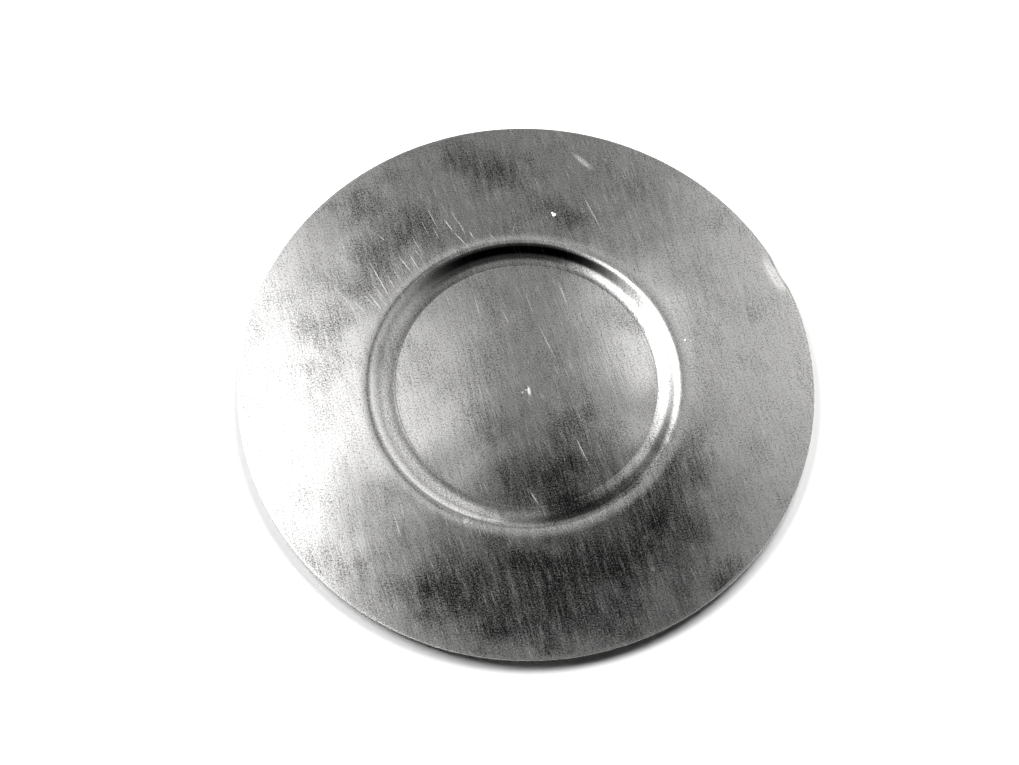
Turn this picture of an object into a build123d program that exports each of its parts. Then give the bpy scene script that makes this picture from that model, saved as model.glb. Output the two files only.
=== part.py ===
from build123d import *
import math
import os

# Paten: a shallow, wide-rimmed communion plate raised from one sheet of silver,
# with a narrow edge wire closing its outer edge. Millimetres, +Z up.
# The origin is the centre of the flat underside, so the plate rests on z = 0.

plate_diameter = 160.0      # over the edge wire
sheet_thickness = 1.0       # measured square to the surface, the same everywhere

# Edge wire
wire_width = 0.8            # radial
wire_height = 1.3           # down from the rim's upper face
wire_round = 0.12           # rounding of the two outer arrises

# Centre punch mark: a conical pit in the floor
punch_x = 0.3
punch_y = -1.5
punch_radius = 0.45         # at its mouth
punch_tip_radius = 0.05
punch_depth = 0.3
punch_overrun = 0.001       # cutter stands this far above the floor for a clean cut

# The wall is one smooth S from the flat floor up to the flat rim.
# Columns: radius, slope of the upper face in degrees.
wall_slope = [
    (36.4, 0.0),            # floor ends: a slight crease starts the hollow curve
    (36.55, 3.3),
    (36.9, 4.2),
    (37.4, 5.0),
    (38.3, 7.5),
    (39.2, 13.0),
    (39.9, 22.0),
    (40.5, 31.0),
    (41.0, 35.5),           # steepest: hollow turns to round
    (41.5, 32.0),
    (42.0, 22.0),
    (42.5, 11.5),
    (43.0, 5.5),
    (43.7, 2.2),
    (45.0, 0.5),
    (46.2, 0.0),            # rim starts: flat from here to the edge
]
wall_spans = 24             # stretches between spline points
steps_per_span = 50         # integration steps in each stretch

outer_radius = plate_diameter / 2
sheet_radius = outer_radius - wire_width
floor_radius = wall_slope[0][0]
rim_radius = wall_slope[-1][0]


def slope_at(radius):
    """Slope in degrees, interpolated between the stations of wall_slope."""
    for (r0, s0), (r1, s1) in zip(wall_slope, wall_slope[1:]):
        if radius <= r1:
            return s0 + (s1 - s0) * (radius - r0) / (r1 - r0)
    return 0.0  # on the rim


def wall_points():
    """Points up the wall as (radius, height above the floor, slope in radians)."""
    points = [(floor_radius, 0.0, 0.0)]
    step_count = wall_spans * steps_per_span
    step = (rim_radius - floor_radius) / step_count
    height = 0.0
    for i in range(step_count):
        middle = floor_radius + (i + 0.5) * step
        height += math.tan(math.radians(slope_at(middle))) * step
        if (i + 1) % steps_per_span == 0:
            radius = floor_radius + (i + 1) * step
            points.append((radius, height, math.radians(slope_at(radius))))
    return points


wall = wall_points()
z_floor = sheet_thickness
z_rim = z_floor + wall[-1][1]


def point(radius, z):
    """Point of a section in the X-Z plane."""
    return Vector(radius, 0, z)


def build_dish():
    upper = [point(radius, z_floor + height) for radius, height, _ in wall]
    # The lower face is the upper one offset square to the surface.
    lower = [
        point(
            radius + sheet_thickness * math.sin(slope),
            z_floor + height - sheet_thickness * math.cos(slope),
        )
        for radius, height, slope in wall
    ]
    outward = Vector(1, 0, 0)
    centre_bottom = point(0, 0)
    centre_top = point(0, z_floor)
    edge_bottom = point(sheet_radius, z_rim - sheet_thickness)
    edge_top = point(sheet_radius, z_rim)
    section = Wire([
        Edge.make_line(centre_bottom, lower[0]),
        Edge.make_spline(lower, tangents=[outward, outward]),
        Edge.make_line(lower[-1], edge_bottom),
        Edge.make_line(edge_bottom, edge_top),
        Edge.make_line(edge_top, upper[-1]),
        Edge.make_spline(upper[::-1], tangents=[-outward, -outward]),
        Edge.make_line(upper[0], centre_top),
        Edge.make_line(centre_top, centre_bottom),
    ])
    dish = revolve(Face(section), axis=Axis.Z, revolution_arc=360)

    punch_z = z_floor + (punch_overrun - punch_depth) / 2
    punch = Pos(punch_x, punch_y, punch_z) * Cone(
        bottom_radius=punch_tip_radius,
        top_radius=punch_radius,
        height=punch_depth + punch_overrun,
    )
    return (dish - punch).solid()


def build_edge_wire():
    """Band round the outside of the sheet, flush with the rim's upper face."""
    z_low = z_rim - wire_height
    round_start = outer_radius - wire_round
    # Inset of each rounding's middle point from the two faces it joins
    inset = wire_round * (1 - math.cos(math.radians(45)))

    inner_bottom = point(sheet_radius, z_low)
    inner_top = point(sheet_radius, z_rim)
    lower_round = [
        point(round_start, z_low),
        point(outer_radius - inset, z_low + inset),
        point(outer_radius, z_low + wire_round),
    ]
    upper_round = [
        point(outer_radius, z_rim - wire_round),
        point(outer_radius - inset, z_rim - inset),
        point(round_start, z_rim),
    ]
    section = Wire([
        Edge.make_line(inner_bottom, lower_round[0]),
        Edge.make_three_point_arc(*lower_round),
        Edge.make_line(lower_round[-1], upper_round[0]),
        Edge.make_three_point_arc(*upper_round),
        Edge.make_line(upper_round[-1], inner_top),
        Edge.make_line(inner_top, inner_bottom),
    ])
    return revolve(Face(section), axis=Axis.Z, revolution_arc=360)


os.makedirs("parts", exist_ok=True)
export_step(build_dish(), "parts/dish.step")
export_step(build_edge_wire(), "parts/edge_wire.step")
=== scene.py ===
"""Looks of a silver paten: a shallow round plate with a broad flat rim and a round well."""

import math

import bpy
import numpy as np
from mathutils import Matrix, Vector
from mathutils import noise as mnoise


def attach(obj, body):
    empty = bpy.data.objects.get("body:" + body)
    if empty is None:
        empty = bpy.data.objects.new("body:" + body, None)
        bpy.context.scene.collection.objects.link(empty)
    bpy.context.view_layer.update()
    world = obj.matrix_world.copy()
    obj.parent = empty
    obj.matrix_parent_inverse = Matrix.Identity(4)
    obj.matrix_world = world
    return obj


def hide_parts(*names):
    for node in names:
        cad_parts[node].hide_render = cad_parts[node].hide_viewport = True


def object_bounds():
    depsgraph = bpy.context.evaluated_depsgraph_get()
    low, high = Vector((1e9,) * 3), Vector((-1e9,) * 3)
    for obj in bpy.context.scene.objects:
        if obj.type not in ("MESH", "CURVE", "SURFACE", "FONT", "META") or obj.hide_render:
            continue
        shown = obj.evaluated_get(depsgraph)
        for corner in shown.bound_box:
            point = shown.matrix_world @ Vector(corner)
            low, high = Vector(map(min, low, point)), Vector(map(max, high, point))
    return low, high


MM = 0.001

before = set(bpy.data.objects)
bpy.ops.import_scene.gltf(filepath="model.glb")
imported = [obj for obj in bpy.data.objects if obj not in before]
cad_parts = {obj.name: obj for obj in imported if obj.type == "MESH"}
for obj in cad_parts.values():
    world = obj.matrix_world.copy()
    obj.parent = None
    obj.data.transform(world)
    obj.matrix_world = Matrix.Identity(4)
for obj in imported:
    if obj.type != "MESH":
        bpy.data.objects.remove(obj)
cad_low, cad_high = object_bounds()

# ---------------------------------------------------------------------------
# Shape of the plate, in millimetres. Same numbers as the CAD source.
# ---------------------------------------------------------------------------
R_OUTER = 80.0
R_SHEET = 79.2
SHEET = 1.0
WIRE_H = 1.3
WIRE_ROUND = 0.12
SLOPE = [
    (36.4, 0.0), (36.55, 3.3), (36.9, 4.2), (37.4, 5.0), (38.3, 7.5), (39.2, 13.0), (39.9, 22.0),
    (40.5, 31.0), (41.0, 35.5), (41.5, 32.0), (42.0, 22.0), (42.5, 11.5),
    (43.0, 5.5), (43.7, 2.2), (45.0, 0.5), (46.2, 0.0),
]
_r = np.linspace(34.0, 48.0, 2801)
_s = np.interp(_r, [a for a, b in SLOPE], [b for a, b in SLOPE])
_crease = np.clip((37.3 - _r) / 0.4, 0, 1)


def _soften(values, spread):
    k = np.exp(-0.5 * (np.arange(-120, 121) * (_r[1] - _r[0]) / spread) ** 2)
    return np.convolve(np.pad(values, 120, mode="edge"), k / k.sum(), mode="valid")


_s = _soften(_s, 0.05) * _crease + _soften(_s, 0.16) * (1 - _crease)
_h = np.concatenate([[0], np.cumsum(np.tan(np.radians((_s[1:] + _s[:-1]) / 2)) * np.diff(_r))])
DEPTH = float(_h[-1])
Z_RIM = float(cad_high[2]) / MM


def height(r):
    """Height of the upper face over the rim's own plane, in mm, negative in the well."""
    return np.interp(r, _r, _h) - DEPTH


def slope(r):
    return np.radians(np.interp(r, _r, _s))


# Gentle unevenness left by hand work, as a handful of long waves.
_rng = np.random.RandomState(7)
WAVES = []
for _i in range(26):
    _len = 14.0 * (3.2 ** _rng.rand())
    _a = _rng.rand() * 2 * math.pi
    _amp = 0.0019 * _len / (2 * math.pi) * (0.5 + _rng.rand())
    WAVES.append((2 * math.pi / _len * math.cos(_a), 2 * math.pi / _len * math.sin(_a),
                  _rng.rand() * 2 * math.pi, _amp * 0.62))


def uneven(x, y):
    out = np.zeros_like(x)
    for kx, ky, ph, amp in WAVES:
        out += amp * np.sin(kx * x + ky * y + ph)
    return out * 0.55


NICK_AZ = math.radians(28.8)


def nick(r, az):
    """How far a small knock pushes the edge inwards and down, in mm."""
    d = (az - NICK_AZ + math.pi) % (2 * math.pi) - math.pi
    along = np.exp(-np.abs(d / math.radians(3.1)) ** 3.0)
    t = np.clip((r - 76.6) / 3.0, 0, 1)
    return along * t * t * (3 - 2 * t)


WELL_SHIFT = (-0.45, 0.22)      # the well was raised a little off the middle of the rim


def shape_point(r, az, z):
    """Applies the unevenness and the knock to points of the axisymmetric form."""
    x, y = r * np.cos(az), r * np.sin(az)
    fade = np.clip((r - 0.0) / 4.0, 0, 1)
    z = z + uneven(x, y) * fade
    k = nick(r, az)
    rr = r - 0.42 * k
    t = np.clip((66.0 - r) / 18.0, 0, 1)
    t = t * t * (3 - 2 * t)
    w = np.clip((r - 36.6) / 3.9, 0, 1)
    return rr * np.cos(az) + WELL_SHIFT[0] * t * w, rr * np.sin(az) + WELL_SHIFT[1] * t, z - 0.34 * k


# ---------------------------------------------------------------------------
# Meshes
# ---------------------------------------------------------------------------
def grid_mesh(name, rows, count, close_start=False, close_end=False, loop_rows=False):
    """Mesh from rings of (r, z) in mm; rings with r = 0 become a single point."""
    az = np.arange(count) * 2 * math.pi / count
    verts, ring_start = [], []
    for r, z in rows:
        ring_start.append(len(verts))
        if r == 0:
            verts.append((0.0, 0.0, z * MM))
        else:
            x, y, zz = shape_point(np.full(count, float(r)), az, np.full(count, float(z)))
            verts.extend(zip(x * MM, y * MM, zz * MM))
    faces = []
    n = len(rows)
    pairs = [(i, i + 1) for i in range(n - 1)] + ([(n - 1, 0)] if loop_rows else [])
    for i, j in pairs:
        a, b = ring_start[i], ring_start[j]
        if rows[i][0] == 0:
            faces.extend((a, b + (k + 1) % count, b + k) for k in range(count))
        elif rows[j][0] == 0:
            faces.extend((a + k, a + (k + 1) % count, b) for k in range(count))
        else:
            faces.extend(
                (a + k, a + (k + 1) % count, b + (k + 1) % count, b + k) for k in range(count)
            )
    mesh = bpy.data.meshes.new(name)
    mesh.from_pydata(verts, [], faces)
    mesh.validate()
    mesh.update()
    for poly in mesh.polygons:
        poly.use_smooth = True
    obj = bpy.data.objects.new(name, mesh)
    bpy.context.scene.collection.objects.link(obj)
    return obj


# Soft dark tarnish: centre x, centre y, half length, half width, turn in degrees, strength
TARNISH = [
    (-18.0, 68.0, 11.0, 6.5, -35.0, 0.56),
    (-10.0, 62.5, 6.0, 4.5, 0.0, 0.47),
    (-35.0, 45.5, 11.0, 7.5, -15.0, 0.53),
    (-31.0, 51.0, 5.0, 4.0, 0.0, 0.42),
    (-44.5, 35.0, 7.0, 9.0, 0.0, 0.63),
    (2.0, -57.0, 28.0, 10.0, 2.0, 0.78),
    (27.0, -51.0, 22.0, 11.5, 8.0, 0.66),
    (37.5, -36.0, 13.0, 13.0, 20.0, 0.76),
    (56.5, -52.5, 7.0, 4.5, 35.0, 0.80),
    (8.0, -28.0, 16.0, 10.0, 10.0, 0.74),
    (28.0, 65.0, 9.0, 10.0, 0.0, 0.25),
    (4.0, 54.0, 9.0, 5.0, -20.0, 0.50),
    (-6.0, -68.0, 17.0, 8.0, 0.0, 0.66),
    (18.0, -67.5, 22.0, 8.5, 8.0, 0.84),
    (-56.5, 12.0, 8.0, 10.0, 0.0, 0.52),
    (-47.0, -57.0, 8.0, 6.0, 0.0, 0.38),
    (-52.0, 50.0, 8.0, 7.0, 0.0, 0.55),
    (-5.0, 66.0, 7.0, 5.0, 0.0, 0.42),
    (44.0, -22.0, 7.0, 9.0, 0.0, 0.66),
    (-20.0, -61.0, 12.0, 7.0, 0.0, 0.74),
    (0.0, 45.0, 40.0, 7.0, 0.0, 0.08),
    (17.0, -13.0, 11.0, 8.0, 0.0, 0.42),
    (52.0, 27.0, 9.0, 9.0, 0.0, 0.08),
    (-13.0, 3.0, 7.0, 18.0, 0.0, 0.25),
]


def paint_tarnish(obj):
    """Stores how tarnished each point of the upper face is, 0 to 1."""
    mesh = obj.data
    co = np.zeros(len(mesh.vertices) * 3, np.float32)
    mesh.vertices.foreach_get("co", co)
    co = co.reshape(-1, 3).astype(float) / MM
    out = np.zeros(len(co))
    for i, (px, py, pz) in enumerate(co):
        w = mnoise.turbulence_vector(Vector((px * 0.13, py * 0.13, 3.7)), 4, False)
        wx, wy = px + (w.x) * 5.0, py + (w.y) * 5.0
        total = 0.0
        for cx, cy, a, b, turn, strength in TARNISH:
            t = math.radians(turn)
            dx, dy = wx - cx, wy - cy
            u = (dx * math.cos(t) + dy * math.sin(t)) / (a * 1.45)
            v = (-dx * math.sin(t) + dy * math.cos(t)) / (b * 1.45)
            d = u * u + v * v
            if d < 1.0:
                k = (1.0 - d) ** 1.5 * strength
                total = max(total, k) + 0.35 * min(total, k)
        out[i] = total
    attribute = mesh.attributes.new("tarnish", "FLOAT", "POINT")
    attribute.data.foreach_set("value", out.astype(np.float32))


def mark_sharp(obj, degrees):
    obj.data.set_sharp_from_angle(angle=math.radians(degrees))


radii = (
    [0.0]
    + list(np.linspace(1.5, 34.5, 19))
    + [35.3, 35.8, 36.15, 36.33, 36.41, 36.48, 36.55, 36.63, 36.75, 36.95, 37.2, 37.5, 37.8]
    + list(np.linspace(38.1, 44.0, 30))
    + list(np.linspace(44.4, 47.0, 7))
    + list(np.linspace(49.0, 75.5, 14))
    + [76.5, 77.3, 78.0, 78.6, R_SHEET - 0.012]
)
top = [(r, Z_RIM + float(height(r))) for r in radii]
low_r = (
    [0.0]
    + list(np.linspace(4.0, 35.0, 9))
    + list(np.linspace(36.0, 44.5, 26))
    + list(np.linspace(45.5, 75.0, 9))
    + [77.0, 78.2, R_SHEET - 0.05]
)
bottom = []
for r in low_r:
    s = float(slope(r))
    rr = r + SHEET * math.sin(s)
    bottom.append((rr if r else 0.0, Z_RIM + float(height(r)) - SHEET * math.cos(s)))
rows = list(reversed(top))[:]                       # from the edge to the centre on top
section = bottom + [(R_SHEET, Z_RIM - SHEET + 0.05), (R_SHEET, Z_RIM - 0.012)] + rows
dish = grid_mesh("dish_surface", section, 480)
mark_sharp(dish, 30)
paint_tarnish(dish)
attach(dish, "root")
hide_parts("dish")

# The edge wire: nearly square section, flush with the rim, outer arrises broken.
wr = WIRE_ROUND
zt, zb = Z_RIM, Z_RIM - WIRE_H
wire_rows = [(R_SHEET + 0.002, zb + 0.06), (R_SHEET + 0.06, zb)]
for i in range(6):
    a = -math.pi / 2 + i / 5 * math.pi / 2
    wire_rows.append((R_OUTER - wr + wr * math.cos(a), zb + wr + wr * math.sin(a)))
for i in range(6):
    a = i / 5 * math.pi / 2
    wire_rows.append((R_OUTER - wr + wr * math.cos(a), zt - wr + wr * math.sin(a)))
wire_rows += [(R_OUTER - wr - 0.04, zt), (R_SHEET + 0.015, zt), (R_SHEET + 0.002, zt - 0.015)]
wire = grid_mesh("edge_wire_surface", wire_rows, 480, loop_rows=True)
mark_sharp(wire, 30)
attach(wire, "root")
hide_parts("edge_wire")


# ---------------------------------------------------------------------------
# Small expression builder for shader nodes
# ---------------------------------------------------------------------------
class V:
    """A scalar socket in a node tree, with arithmetic."""

    tree = None

    def __init__(self, socket):
        self.s = socket

    @classmethod
    def math(cls, op, *args, clamp=False):
        n = cls.tree.nodes.new("ShaderNodeMath")
        n.operation = op
        n.use_clamp = clamp
        for i, a in enumerate(args):
            if isinstance(a, V):
                cls.tree.links.new(a.s, n.inputs[i])
            else:
                n.inputs[i].default_value = float(a)
        return V(n.outputs[0])

    def __add__(self, o):
        return V.math("ADD", self, o)

    __radd__ = __add__

    def __sub__(self, o):
        return V.math("SUBTRACT", self, o)

    def __rsub__(self, o):
        return V.math("SUBTRACT", o, self)

    def __mul__(self, o):
        return V.math("MULTIPLY", self, o)

    __rmul__ = __mul__

    def __truediv__(self, o):
        return V.math("DIVIDE", self, o)

    def __neg__(self):
        return V.math("MULTIPLY", self, -1.0)


def vmax(a, b):
    return V.math("MAXIMUM", a, b)


def vmin(a, b):
    return V.math("MINIMUM", a, b)


def vexp(a):
    return V.math("EXPONENT", a)


def sigmoid(t):
    return V.math("DIVIDE", 1.0, vexp(vmin(vmax(-t, -30.0), 30.0)) + 1.0)


def smooth(x, a, b):
    """Smoothstep of x from a (0) to b (1)."""
    n = V.tree.nodes.new("ShaderNodeMapRange")
    n.interpolation_type = "SMOOTHSTEP"
    V.tree.links.new(x.s, n.inputs["Value"])
    flip = a > b
    n.inputs["From Min"].default_value = b if flip else a
    n.inputs["From Max"].default_value = a if flip else b
    n.inputs["To Min"].default_value = 1.0 if flip else 0.0
    n.inputs["To Max"].default_value = 0.0 if flip else 1.0
    return V(n.outputs["Result"])


def gauss2(x, y, cx, cy, sx, sy):
    u = (x - cx) / sx
    v = (y - cy) / sy
    return vexp(-(u * u + v * v))


# ---------------------------------------------------------------------------
# World: a large strong panel on the left, a weaker one on the right that runs
# round to the far side, and darkness behind the viewer. u and v are the tilt a
# mirror needs to send a direction to the viewer, scaled so that the plate's flat
# parts cover the range -80 to 80.
# ---------------------------------------------------------------------------
def build_world():
    world = bpy.data.worlds.new("studio")
    bpy.context.scene.world = world
    world.use_nodes = True
    nt = world.node_tree
    nt.nodes.clear()
    V.tree = nt
    tc = nt.nodes.new("ShaderNodeTexCoord")
    sep = nt.nodes.new("ShaderNodeSeparateXYZ")
    nt.links.new(tc.outputs["Generated"], sep.inputs[0])
    dx, dy, dz = (V(sep.outputs[i]) for i in range(3))
    k = vmax(dz + 0.92, 0.3)
    u = dx / k * 1178.0
    v = (dy - 0.392) / k * 1392.0
    far = vmax(V.math("SQRT", u * u * 1.21 + v * v * 0.9), 1.0)
    out = vmax(-u - 50.0, 0.0)

    left = (
        sigmoid((-u - 54.7) / 7.7)
        * sigmoid((v + 82.0 + out * 0.76) / (out * 0.33 + 29.0))
        * sigmoid((out * 0.34 - 12.4 - v - vmax(out - 150.0, 0.0) * 0.29) / (out * 0.10 + 28.0))
        * (1.0 - sigmoid((v * 0.5 - u - 586.0) / 89.0) * 0.76)
        * 3.2
    )
    lobe = (
        sigmoid((v - u * 3.0 + 10.0) / (far * 0.12 + 8.0))
        * sigmoid((-v - 100.0) / 14.0)
        * sigmoid((-u - 30.0) / 10.0)
        * sigmoid((430.0 - far) / 55.0)
        * 1.2
    )
    glow = (
        gauss2(u, v, -38.0, 2.3, 21.6, 18.7) * 0.50
        + gauss2(u, v, -38.0, -20.0, 18.9, 8.8) * 1.0
        + gauss2(u, v, -22.5, 10.0, 6.0, 9.5) * 0.27
        + gauss2(u, v, -25.0, -27.0, 8.0, 8.0) * 0.22
    )
    right = sigmoid((u - 47.1) / 7.0) * sigmoid((v - 11.8 + u * 1.007) / (vmax(u, 0.0) * 0.2 + 3.0)) * 0.331
    right = right * (1.0 + sigmoid((far - 125.0) / 20.0) * 0.42)
    wedge = (
        sigmoid((v / far - 0.06) / 0.097)
        * sigmoid((u + v / 7.9) / (far * 0.031 + 20.0))
        * sigmoid((far - 112.0) / 25.0)
        * 0.29
    )
    low_right = 1.0 - sigmoid((far - 803.0) / 147.0) * 0.426
    spot = gauss2(u, v, 32.0, 10.0, 8.0, 17.0) * 1.25 + gauss2(u, v, 22.0, 24.0, 9.0, 9.0) * 0.50
    fade = 1.0 - sigmoid((far - 341.0) / 58.0) * 0.73
    base = sigmoid((v + 16.6) / 3.0) * 0.149 * fade + sigmoid((480.0 - far) / 45.0) * 0.030
    far_left = sigmoid((-u / far - 0.59) / 0.059) * sigmoid(v / 30.0) * sigmoid((far - 200.0) / 60.0) * 0.145
    near = gauss2(u, v, 12.0, -108.0, 70.0, 70.0) * 0.172
    # Low round the room, below anything the well's wall mirrors from above.
    low = sigmoid((far - 1200.0) / 50.0)
    left = left * (1.0 - low * 0.66)
    low = low * 0.26
    total = left + lobe + glow + (right + wedge) * low_right + spot + base + far_left + near + low

    light_path = nt.nodes.new("ShaderNodeLightPath")
    camera_ray = V(light_path.outputs["Is Camera Ray"])
    glossy_ray = V(light_path.outputs["Is Glossy Ray"])
    shown = total * glossy_ray * (1.0 - camera_ray) + camera_ray * 1.0 + (1.0 - glossy_ray) * 0.012
    bg = nt.nodes.new("ShaderNodeBackground")
    bg.inputs["Color"].default_value = (1, 1, 1, 1)
    nt.links.new(shown.s, bg.inputs["Strength"])
    out_node = nt.nodes.new("ShaderNodeOutputWorld")
    nt.links.new(bg.outputs[0], out_node.inputs["Surface"])


build_world()


# ---------------------------------------------------------------------------
# Silver
# ---------------------------------------------------------------------------
# Fine bright scratches, and one painted highlight at the centre punch: from x, from y, to x, to y, half width,
# strength
SCRATCHES_AND_GLINT = [
    (-47.2, 35.0, -39.1, 21.8, 0.16, 0.95),
    (-38.5, 36.3, -34.2, 31.1, 0.15, 0.90),
    (-35.4, 37.0, -32.3, 32.2, 0.12, 0.80),
    (-35.7, 43.8, -31.2, 36.3, 0.11, 0.70),
    (-31.8, 52.5, -27.8, 45.4, 0.13, 0.80),
    (-26.5, 48.8, -23.2, 44.7, 0.15, 0.90),
    (-23.2, 44.7, -19.5, 41.0, 0.14, 0.85),
    (-22.6, 48.8, -19.8, 44.2, 0.11, 0.70),
    (-18.9, 45.5, -17.3, 42.9, 0.13, 0.80),
    (-44.7, 42.4, -42.3, 40.5, 0.14, 0.75),
    (-55.0, 35.4, -53.3, 32.7, 0.12, 0.70),
    (-49.1, 25.2, -42.7, 19.0, 0.12, 0.70),
    (-46.9, 25.2, -41.3, 18.4, 0.15, 0.95),
    (-53.9, 23.7, -48.4, 17.1, 0.12, 0.70),
    (-56.4, 26.1, -52.3, 21.4, 0.11, 0.60),
    (-50.5, 22.0, -46.2, 17.7, 0.13, 0.75),
    (-42.5, 32.0, -37.8, 24.7, 0.12, 0.70),
    (-40.8, 33.6, -37.1, 28.4, 0.10, 0.60),
    (-34.4, 39.1, -31.2, 35.1, 0.11, 0.70),
    (-45.7, 27.8, -40.4, 21.2, 0.11, 0.65),
    (-60.6, 32.3, -56.5, 27.1, 0.12, 0.45),
    (-33.8, 49.3, -29.6, 42.2, 0.10, 0.60),
    (-29.7, 46.5, -26.9, 41.7, 0.10, 0.60),
    (-24.9, 52.0, -21.8, 47.1, 0.10, 0.50),
    (-44.6, 25.4, -39.6, 19.3, 0.10, 0.60),
    (-54.6, 38.7, -53.8, 37.2, 0.12, 0.60),
    (12.5, 60.0, 19.4, 47.0, 0.22, 0.45), (9.0, 72.8, 15.6, 67.4, 0.9, 0.40),
    (-48.8, 40.2, -45.5, 37.6, 0.10, 0.45), (-13.6, 45.6, -10.6, 42.4, 0.10, 0.5),
    (2.0, 19.0, 9.0, 6.0, 0.12, 0.5), (-9.0, 24.0, -5.4, 17.0, 0.12, 0.4),
    (13.0, -4.0, 17.4, -13.0, 0.12, 0.45), (14.0, -14.0, 19.0, -23.6, 0.20, 0.55),
    (-14.0, 2.0, -10.2, -12.0, 0.12, 0.4), (-16.8, 28.0, -13.6, 18.0, 0.12, 0.35),
    (20.0, 12.0, 26.0, -4.0, 0.12, 0.4), (2.2, -30.6, 5.6, -35.6, 0.16, 0.6),
    (-4.0, 33.0, 1.5, 20.0, 0.10, 0.35), (7.0, 33.0, 10.6, 24.0, 0.30, 0.35),
    (-33.6, -41.6, -31.0, -48.0, 0.14, 0.5), (56.0, -60.5, 51.0, -57.0, 0.1, 0.4),
    # The entry from 0.55, -0.5 to 1.2, -3.4 is no scratch: it is a painted highlight, the glint on one side of
    # the centre punch.
    (-6.6, 45.4, -5.9, 49.6, 0.10, 0.6), (0.55, -0.5, 1.2, -3.4, 0.50, 1.0),
]
# Small pale specks and small dark specks: x, y, radius, strength
PALE = [
    (4.95, 52.3, 0.75, 1.0), (4.4, 52.9, 0.45, 0.9), (43.6, 15.6, 0.42, 0.9),
    (45.2, 15.4, 0.25, 0.6), (42.2, 53.4, 0.3, 0.3), (-14.0, -42.0, 1.0, 0.22),
    (-12.4, -42.4, 0.6, 0.18), (-0.9, -2.5, 0.5, 0.25), (37.0, -52.4, 0.9, 0.10), (34.6, -43.6, 0.7, 0.10),
]
DARK = [
    (-36.7, 5.1, 0.42, 0.9), (-35.3, -3.1, 0.3, 0.7), (28.6, 36.4, 0.35, 0.6),
    (30.2, 36.2, 0.3, 0.6), (0.5, 29.6, 0.45, 0.4), (-2.0, 29.2, 0.3, 0.4),
]


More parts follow.
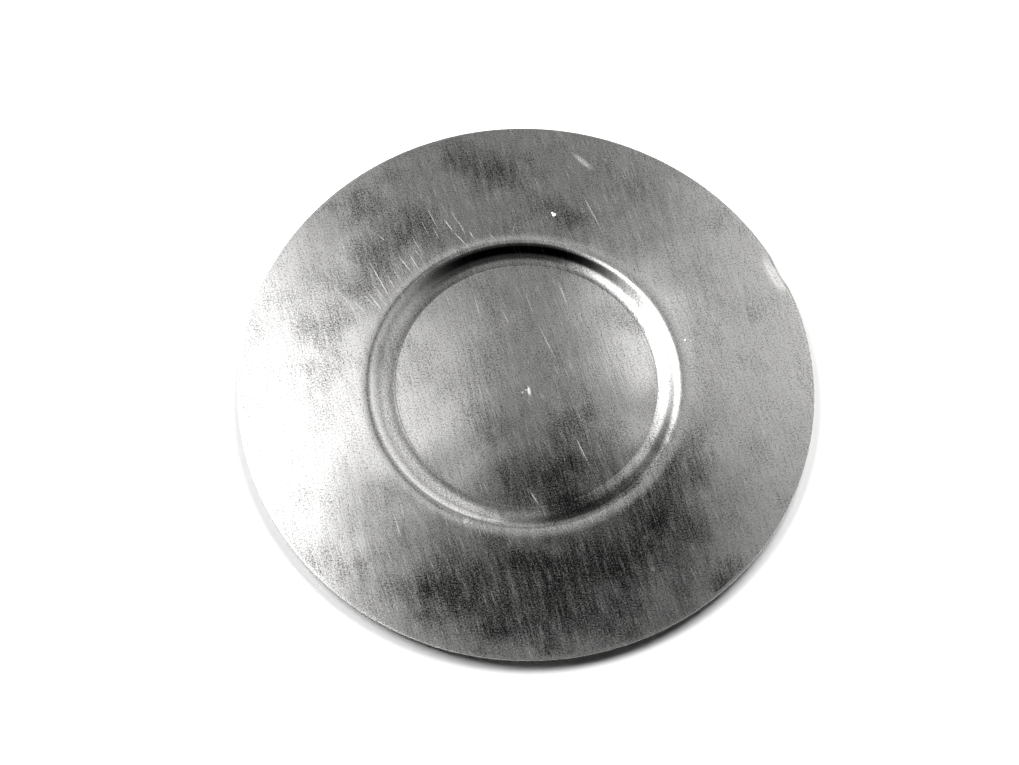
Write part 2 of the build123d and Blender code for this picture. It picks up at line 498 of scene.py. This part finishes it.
def silver(name, base_rough, tarnish_level, streak_level, features):
    mat = bpy.data.materials.new(name)
    mat.use_nodes = True
    nt = mat.node_tree
    nt.nodes.clear()
    V.tree = nt
    L = nt.links

    def node(kind, **inputs):
        n = nt.nodes.new(kind)
        for k, v in inputs.items():
            n.inputs[k].default_value = v
        return n

    tc = node("ShaderNodeTexCoord")
    to_mm = node("ShaderNodeVectorMath")
    to_mm.operation = "SCALE"
    to_mm.inputs["Scale"].default_value = 1000.0
    L.new(tc.outputs["Object"], to_mm.inputs[0])
    p3 = to_mm.outputs[0]
    flat = node("ShaderNodeVectorMath")
    flat.operation = "MULTIPLY"
    flat.inputs[1].default_value = (1, 1, 0)
    L.new(p3, flat.inputs[0])
    p2 = flat.outputs[0]
    sep = node("ShaderNodeSeparateXYZ")
    L.new(p3, sep.inputs[0])
    x, y, zc = (V(sep.outputs[i]) for i in range(3))
    ln = node("ShaderNodeVectorMath")
    ln.operation = "LENGTH"
    L.new(p2, ln.inputs[0])
    r = V(ln.outputs["Value"])
    geo = node("ShaderNodeNewGeometry")
    nsep = node("ShaderNodeSeparateXYZ")
    L.new(geo.outputs["Normal"], nsep.inputs[0])
    up = smooth(V(nsep.outputs[2]), -0.2, 0.2)

    def noise(scale, detail=2.0, rough=0.5, rotate=0.0, stretch=(1, 1, 1), offset=(0, 0, 0), source=None):
        m = node("ShaderNodeMapping")
        m.vector_type = "POINT"
        # turn first, then stretch: two mapping nodes keep the order plain
        L.new(source or p2, m.inputs["Vector"])
        m.inputs["Rotation"].default_value = (0, 0, math.radians(rotate))
        m.inputs["Location"].default_value = offset
        m2 = node("ShaderNodeMapping")
        L.new(m.outputs[0], m2.inputs["Vector"])
        m2.inputs["Scale"].default_value = stretch
        n = node("ShaderNodeTexNoise")
        n.inputs["Scale"].default_value = scale
        n.inputs["Detail"].default_value = detail
        n.inputs["Roughness"].default_value = rough
        L.new(m2.outputs[0], n.inputs["Vector"])
        return V(n.outputs["Fac"])

    def patch(cx, cy, a, b, turn, low=1.0, high=0.0, source=None):
        """1 at the centre of an ellipse and 0 at its edge."""
        m = node("ShaderNodeMapping")
        m.vector_type = "TEXTURE"
        m.inputs["Location"].default_value = (cx, cy, 0)
        m.inputs["Rotation"].default_value = (0, 0, math.radians(turn))
        m.inputs["Scale"].default_value = (a, b, 1)
        L.new(source or p2, m.inputs["Vector"])
        d = node("ShaderNodeVectorMath")
        d.operation = "LENGTH"
        L.new(m.outputs[0], d.inputs[0])
        return smooth(V(d.outputs["Value"]), low, high)

    # Cloudy mottling at two sizes, and directional wiping marks.
    cloud = noise(0.055, 3.0, 0.55, offset=(13, 5, 0))
    mottle = noise(0.30, 4.0, 0.62, offset=(3, 41, 0))
    grain = noise(2.4, 1.0, 0.7)
    speckle = noise(1.15, 2.0, 0.6, offset=(5, 9, 0))
    wipe_fine = noise(1.0, 2.0, 0.6, rotate=-19.0, stretch=(1.9, 0.13, 1))
    wipe_wide = noise(1.0, 2.0, 0.55, rotate=-17.0, stretch=(0.42, 0.07, 1), offset=(31, 2, 0))
    hair = noise(1.0, 1.0, 0.5, rotate=-24.0, stretch=(4.6, 0.16, 1), offset=(7, 77, 0))

    tarnish_and_shade = V.math("MULTIPLY", smooth(cloud, 0.46, 0.72), 0.30)
    bright = V.math("MULTIPLY", smooth(hair, 0.58, 0.78), 0.24)
    chalk_and_glint = V.math("MULTIPLY", bright, 0.0)
    dark = V.math("MULTIPLY", smooth(mottle, 0.62, 0.85), 0.10)
    if features:
        att = node("ShaderNodeAttribute")
        att.attribute_name = "tarnish"
        worn = smooth(wipe_fine, 0.52, 0.80) * 0.42 + smooth(wipe_wide, 0.50, 0.78) * 0.30
        tarnish_and_shade = tarnish_and_shade + V(att.outputs["Fac"]) * (smooth(mottle, 0.25, 0.62) * 0.26 + 0.80) * (1.0 - worn)
        for x0, y0, x1, y1, w, strength in SCRATCHES_AND_GLINT:
            mx, my = (x0 + x1) / 2, (y0 + y1) / 2
            half = math.hypot(x1 - x0, y1 - y0) / 2
            turn = math.degrees(math.atan2(y1 - y0, x1 - x0))
            bright = vmax(bright, patch(mx, my, half * 1.25, w * 1.35, turn, high=0.1) * strength)
        for cx, cy, rad, strength in PALE:
            chalk_and_glint = vmax(chalk_and_glint, patch(cx, cy, rad, rad * 0.8, 40.0, high=0.5) * strength)
        for cx, cy, rad, strength in DARK:
            dark = vmax(dark, patch(cx, cy, rad, rad, 0.0, high=0.4) * strength)
    tarnish_and_shade = tarnish_and_shade * tarnish_level * up

    # Rubbed shoulder of the well, grime lying in the hollow below it, and painted shade: a dark patch painted
    # on the near wall of the well.
    rubbed = smooth(r, 42.3, 43.6) * smooth(r, 46.8, 44.6)
    grime_and_painted_shade = smooth(r, 36.3, 37.6) * smooth(r, 40.6, 38.6)
    # Painted shade: this patch darkens the near wall of the well and stands in for the dark reflection there.
    near = patch(14.5, -35.4, 17.0, 5.6, 21.0, low=1.0, high=0.0)
    grime_and_painted_shade = near * 0.66 + grime_and_painted_shade * 0.10
    rubbed = rubbed * up
    # Painted shade: darkens the hollow of the well on the left and lower side, so that it mirrors less light
    # than the shoulder.
    painted_hollow_shade = smooth(y, 16.0, -2.0) * smooth(r, 34.6, 37.2) * smooth(r, 41.9, 40.9) * smooth(x, 22.0, -8.0) * up
    # From here on the tarnish value also carries the painted shade of the near patch.
    tarnish_and_shade = tarnish_and_shade * (1.0 - rubbed * 0.7) + grime_and_painted_shade * up
    steep = smooth(r, 37.8, 39.0) * smooth(r, 43.4, 42.4) * up
    bright = bright * (1.0 - steep * 0.85)
    # The scratches, and the painted highlight at the centre punch, also lighten the colour.
    chalk_and_glint = vmax(chalk_and_glint, bright * 0.40)
    # Painted shade: a dark line painted along the fold where the rubbed shoulder runs out into the flat of the
    # rim, on the left, standing in for a dark reflection there.
    painted_fold_shade = smooth(r, 43.45, 43.95) * smooth(r, 44.75, 44.2) * smooth(x, -8.0, -22.0) * up

    tone = (
        0.90
        - tarnish_and_shade * 0.80
        + (mottle - 0.5) * 0.18
        + (grain - 0.5) * 2.05
        + (speckle - 0.5) * 0.55
        + (wipe_wide - 0.5) * 0.36 * streak_level
        + (wipe_fine - 0.5) * 0.66 * streak_level
        - dark * 0.6
    )
    # Painted shade: the next line darkens the colour in the hollow of the well and along the shoulder fold on
    # the left.
    tone = vmin(vmax(tone * (1.0 - painted_hollow_shade * 0.27) * (1.0 - painted_fold_shade * 0.34), 0.05), 0.97)
    tone = tone + (0.97 - tone) * chalk_and_glint
    scatter = vmin(bright + rubbed * 0.30, 1.0)

    rough = (
        base_rough
        + (wipe_wide - 0.5) * 0.04
        + (mottle - 0.5) * 0.03
        + tarnish_and_shade * 0.015
        + scatter * 0.20
    )
    rough = vmin(vmax(rough, 0.06), 0.6)

    comb = node("ShaderNodeCombineColor")
    warm = tone * 0.992
    cool = tone * 0.975
    L.new(tone.s, comb.inputs[0])
    L.new(warm.s, comb.inputs[1])
    L.new(cool.s, comb.inputs[2])

    # Relief: fine wiping scratches, hammered softness, centre punch.
    relief = wipe_fine * 0.0016 + hair * 0.0014 + wipe_wide * 0.0022 + mottle * 0.0010 + grain * 0.0006
    if features:
        pit = patch(0.3, -1.5, 0.55, 0.55, 0.0)
        relief = relief - pit * 0.30
    bump = node("ShaderNodeBump")
    bump.inputs["Strength"].default_value = 1.0
    bump.inputs["Distance"].default_value = 0.001
    L.new(relief.s, bump.inputs["Height"])

    bsdf = node("ShaderNodeBsdfPrincipled")
    metal = 1.0 - chalk_and_glint * 0.95 - painted_hollow_shade * 0.008
    L.new(metal.s, bsdf.inputs["Metallic"])
    L.new(comb.outputs[0], bsdf.inputs["Base Color"])
    L.new(rough.s, bsdf.inputs["Roughness"])
    L.new(bump.outputs[0], bsdf.inputs["Normal"])
    out = node("ShaderNodeOutputMaterial")
    L.new(bsdf.outputs[0], out.inputs["Surface"])
    return mat


dish_mat = silver("satin_silver", 0.088, 1.0, 1.0, True)
wire_mat = silver("burnished_silver", 0.10, 0.5, 0.4, False)
for o, m in ((dish, dish_mat), (wire, wire_mat)):
    o.data.materials.clear()
    o.data.materials.append(m)

# ---------------------------------------------------------------------------
# Floor
# ---------------------------------------------------------------------------
floor_mesh = bpy.data.meshes.new("floor")
S = 0.40
floor_mesh.from_pydata([(-S, -S, 0), (S, -S, 0), (S, S, 0), (-S, S, 0)], [], [(0, 1, 2, 3)])
floor = bpy.data.objects.new("floor", floor_mesh)
bpy.context.scene.collection.objects.link(floor)
fm = bpy.data.materials.new("pale_table")
fm.use_nodes = True
fb = fm.node_tree.nodes["Principled BSDF"]
fb.inputs["Base Color"].default_value = (0.86, 0.86, 0.86, 1)
fb.inputs["Roughness"].default_value = 0.9
fb.inputs["Specular IOR Level"].default_value = 0.1
floor_mesh.materials.append(fm)


# ---------------------------------------------------------------------------
# The light for the table. It doesn't show in the silver; the panels do that.
# ---------------------------------------------------------------------------
def area(name, az, el, dist, wide, tall, power, glossy=False):
    data = bpy.data.lights.new(name, "AREA")
    data.shape = "RECTANGLE"
    data.size = wide
    data.size_y = tall
    data.energy = power
    data.color = (1, 1, 1)
    o = bpy.data.objects.new(name, data)
    bpy.context.scene.collection.objects.link(o)
    a, e = math.radians(az), math.radians(el)
    d = Vector((math.cos(a) * math.cos(e), math.sin(a) * math.cos(e), math.sin(e)))
    o.location = d * dist
    o.rotation_euler = (-d).to_track_quat("-Z", "Y").to_euler()
    o.visible_glossy = glossy
    return o


area("key_left", 150, 40, 2.2, 1.3, 1.3, 70)
area("key_right", 62, 40, 2.2, 1.3, 1.3, 74)

# ---------------------------------------------------------------------------
# Camera
# ---------------------------------------------------------------------------
def camera():
    e, roll, f, ax, ay = 1.1681610514960161, 0.061703973971539434, 2307.265907980702, -0.007281165029376316, -0.0009154482375977675
    d = 8.0 * R_OUTER * MM
    c = Vector((0, -math.cos(e) * d, math.sin(e) * d))
    fwd = (-c).normalized()
    right = Vector((1, 0, 0))
    up = right.cross(fwd)
    fwd2 = (fwd + math.tan(ax) * right + math.tan(ay) * up).normalized()
    right2 = fwd2.cross(up).normalized()
    up2 = right2.cross(fwd2)
    cs, sn = math.cos(roll), math.sin(roll)
    r3 = cs * right2 + sn * up2
    u3 = -sn * right2 + cs * up2
    data = bpy.data.cameras.new("view")
    data.sensor_fit = "HORIZONTAL"
    data.sensor_width = 36.0
    data.lens = f * 36.0 / 1019.0
    data.clip_start = 0.01
    data.clip_end = 50.0
    o = bpy.data.objects.new("view", data)
    bpy.context.scene.collection.objects.link(o)
    c = c + Vector((0, 0, Z_RIM * MM))
    m = Matrix((
        (r3.x, u3.x, -fwd2.x, c.x),
        (r3.y, u3.y, -fwd2.y, c.y),
        (r3.z, u3.z, -fwd2.z, c.z),
        (0, 0, 0, 1),
    ))
    o.matrix_world = m
    bpy.context.scene.camera = o


camera()
bpy.context.scene.view_settings.view_transform = "Standard"
bpy.context.scene.view_settings.look = "None"
